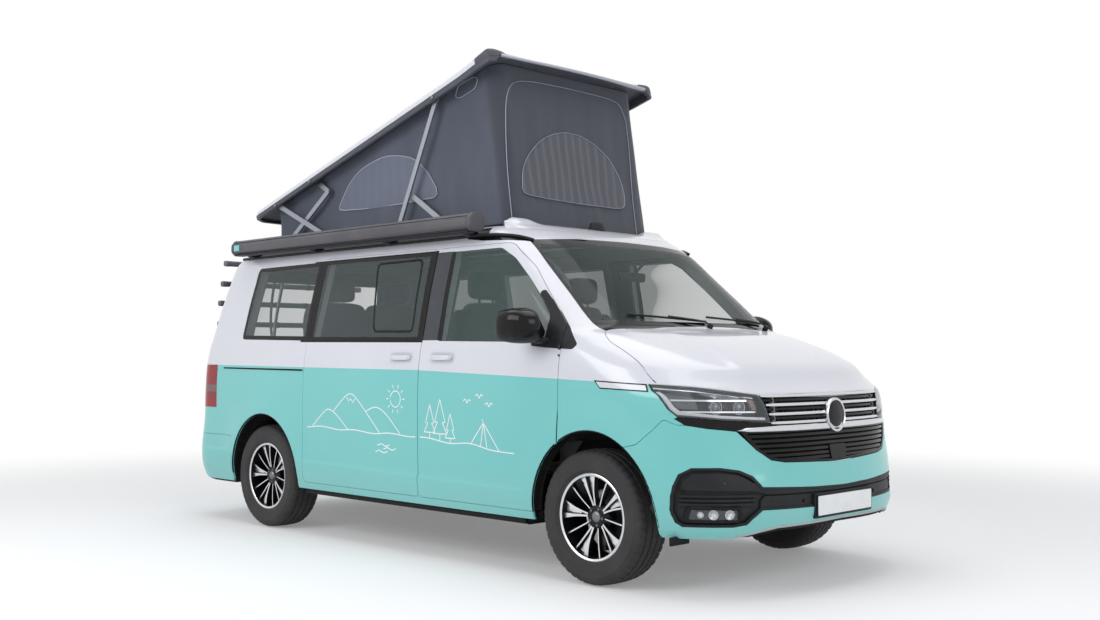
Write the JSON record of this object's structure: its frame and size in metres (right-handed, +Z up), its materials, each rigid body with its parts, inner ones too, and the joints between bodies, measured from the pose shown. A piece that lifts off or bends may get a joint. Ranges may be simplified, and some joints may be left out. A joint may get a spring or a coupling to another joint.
{
  "type": "camper van",
  "caption": "Camper van in white and mint green with a lifted pop-up roof and canvas tent, side awning cassette, sliding side door and a cycle carrier folded against the tailgate",
  "frame": {"origin": "ground level, midway along the whole length and on the centre line", "axes": "+X is the van's left side, -Y its front, +Z up"},
  "size_m": [2.296, 5.055, 2.9552],
  "materials": {
    "white_paint": "gloss silver-white",
    "mint_paint": "gloss mint green",
    "gloss_black": "gloss",
    "cab_plastic": "grained",
    "clear_glass": "clear",
    "dark_glass": "tinted",
    "lamp_glass": "clear lens",
    "red_lens": "gloss",
    "tyre_rubber": "matte",
    "machined_alloy": "machined with black pockets",
    "link_alloy": "anodised grey",
    "anthracite": "satin anthracite",
    "tent_canvas": "coated woven canvas",
    "seat_cloth": "woven",
    "cabinet_board": "laminate",
    "underbody": "satin, coated"
  },
  "bodies": {
    "root": {"body_shell": "white_paint", "floor_pan": "underbody", "bumper_front": "mint_paint", "bumper_rear": "mint_paint", "grille": "gloss_black", "headlamp_left": "lamp_glass", "headlamp_right": "lamp_glass", "tail_lamp_left": "red_lens", "tail_lamp_right": "red_lens", "windscreen": "clear_glass", "side_glass_left": "dark_glass", "quarter_glass_right": "dark_glass", "sliding_door": "mint_paint", "sliding_door_glass": "dark_glass", "roof_frame": "white_paint", "awning": "anthracite", "canvas": "tent_canvas", "dashboard": "cab_plastic", "driver_seat": "seat_cloth", "passenger_seat": "seat_cloth", "rear_bench": "seat_cloth", "kitchen_unit": "cabinet_board", "engine": "underbody", "fuel_tank": "cab_plastic", "exhaust": "underbody", "front_subframe": "underbody", "rear_axle": "underbody"},
    "front_door_left": {"front_door_left": "mint_paint", "front_glass_left": "clear_glass", "mirror_left": "gloss_black"},
    "front_door_right": {"front_door_right": "mint_paint", "front_glass_right": "clear_glass", "mirror_right": "gloss_black"},
    "bonnet": {"bonnet": "white_paint"},
    "tailgate": {"tailgate": "mint_paint", "tailgate_glass": "dark_glass", "carrier_frame": "link_alloy"},
    "carrier_platform": {"carrier_platform": "link_alloy"},
    "steer_left": {"knuckle_left": "underbody"},
    "steer_right": {"knuckle_right": "underbody"},
    "wheel_front_left": {"tyre_front_left": "tyre_rubber", "rim_front_left": "machined_alloy"},
    "wheel_front_right": {"tyre_front_right": "tyre_rubber", "rim_front_right": "machined_alloy"},
    "wheel_rear_left": {"tyre_rear_left": "tyre_rubber", "rim_rear_left": "machined_alloy"},
    "wheel_rear_right": {"tyre_rear_right": "tyre_rubber", "rim_rear_right": "machined_alloy"},
    "rear_links": {"rear_link_left": "link_alloy", "rear_link_right": "link_alloy"},
    "pop_roof": {"pop_roof": "white_paint"},
    "roof_struts": {"roof_strut_left": "link_alloy", "roof_strut_right": "link_alloy"},
    "strut_braces": {"strut_brace_left": "link_alloy", "strut_brace_right": "link_alloy"},
    "fold_arms": {"fold_arm_left": "link_alloy", "fold_arm_right": "link_alloy"},
    "elbow_links": {"elbow_link_left": "link_alloy", "elbow_link_right": "link_alloy"}
  },
  "joints": [
    {"name": "front_door_left_hinge", "type": "hinge", "parent": "root", "child": "front_door_left", "pos_m": [0.952, -1.4125, 1], "axis": [0, 0, -1], "range_deg": [0, 68]},
    {"name": "front_door_right_hinge", "type": "hinge", "parent": "root", "child": "front_door_right", "pos_m": [-0.952, -1.4125, 1], "axis": [0, 0, 1], "range_deg": [0, 68]},
    {"name": "bonnet_hinge", "type": "hinge", "parent": "root", "child": "bonnet", "pos_m": [0, -1.5345, 1.322], "axis": [-1, 0, 0], "range_deg": [0, 55]},
    {"name": "tailgate_hinge", "type": "hinge", "parent": "root", "child": "tailgate", "pos_m": [0, 2.1295, 1.802], "axis": [1, 0, 0], "range_deg": [0, 85]},
    {"name": "carrier_fold", "type": "hinge", "parent": "tailgate", "child": "carrier_platform", "pos_m": [0, 2.3825, 1.2], "axis": [-1, 0, 0], "range_deg": [0, 90]},
    {"name": "steer_left", "type": "hinge", "parent": "root", "child": "steer_left", "pos_m": [0.8, -1.6125, 0.345], "axis": [0, 0, 1], "range_deg": [-33, 33]},
    {"name": "steer_right", "type": "hinge", "parent": "root", "child": "steer_right", "pos_m": [-0.8, -1.6125, 0.345], "axis": [0, 0, 1], "range_deg": [-33, 33]},
    {"name": "wheel_front_left_spin", "type": "hinge", "parent": "steer_left", "child": "wheel_front_left", "pos_m": [0.814, -1.6125, 0.345], "axis": [1, 0, 0], "continuous": true},
    {"name": "wheel_front_right_spin", "type": "hinge", "parent": "steer_right", "child": "wheel_front_right", "pos_m": [-0.814, -1.6125, 0.345], "axis": [1, 0, 0], "continuous": true},
    {"name": "wheel_rear_left_spin", "type": "hinge", "parent": "root", "child": "wheel_rear_left", "pos_m": [0.814, 1.3875, 0.345], "axis": [1, 0, 0], "continuous": true},
    {"name": "wheel_rear_right_spin", "type": "hinge", "parent": "root", "child": "wheel_rear_right", "pos_m": [-0.814, 1.3875, 0.345], "axis": [1, 0, 0], "continuous": true},
    {"name": "roof_lift", "type": "hinge", "parent": "root", "child": "rear_links", "pos_m": [0, 0.8375, 1.885], "axis": [-1, 0, 0], "range_deg": [0, 20.61], "deforming": ["canvas"]},
    {"name": "roof_tilt", "type": "hinge", "parent": "rear_links", "child": "pop_roof", "pos_m": [0, 1.6045, 2.2237], "axis": [1, 0, 0], "range_deg": [0, 37.26]},
    {"name": "strut_fold", "type": "hinge", "parent": "pop_roof", "child": "roof_struts", "pos_m": [0, -0.1225, 2.7385], "axis": [1, 0, 0], "range_deg": [0, 47.52]},
    {"name": "brace_fold", "type": "hinge", "parent": "root", "child": "strut_braces", "pos_m": [0, -0.3125, 1.885], "axis": [-1, 0, 0], "range_deg": [0, 27.85]},
    {"name": "arm_fold", "type": "hinge", "parent": "root", "child": "fold_arms", "pos_m": [0, 1.6185, 1.885], "axis": [1, 0, 0], "range_deg": [0, 30.71]},
    {"name": "elbow_fold", "type": "hinge", "parent": "pop_roof", "child": "elbow_links", "pos_m": [0, 1.1855, 2.3529], "axis": [-1, 0, 0], "range_deg": [0, 45.1]}
  ],
  "couplings": [
    {"joint": "steer_right", "follows": "steer_left", "ratio": 1},
    {"joint": "roof_tilt", "follows": "roof_lift", "ratio": 1.8054},
    {"joint": "strut_fold", "follows": "roof_lift", "ratio": 2.3031},
    {"joint": "brace_fold", "follows": "roof_lift", "ratio": 1.3485},
    {"joint": "arm_fold", "follows": "roof_lift", "ratio": 1.4876},
    {"joint": "elbow_fold", "follows": "roof_lift", "ratio": 2.1859}
  ]
}
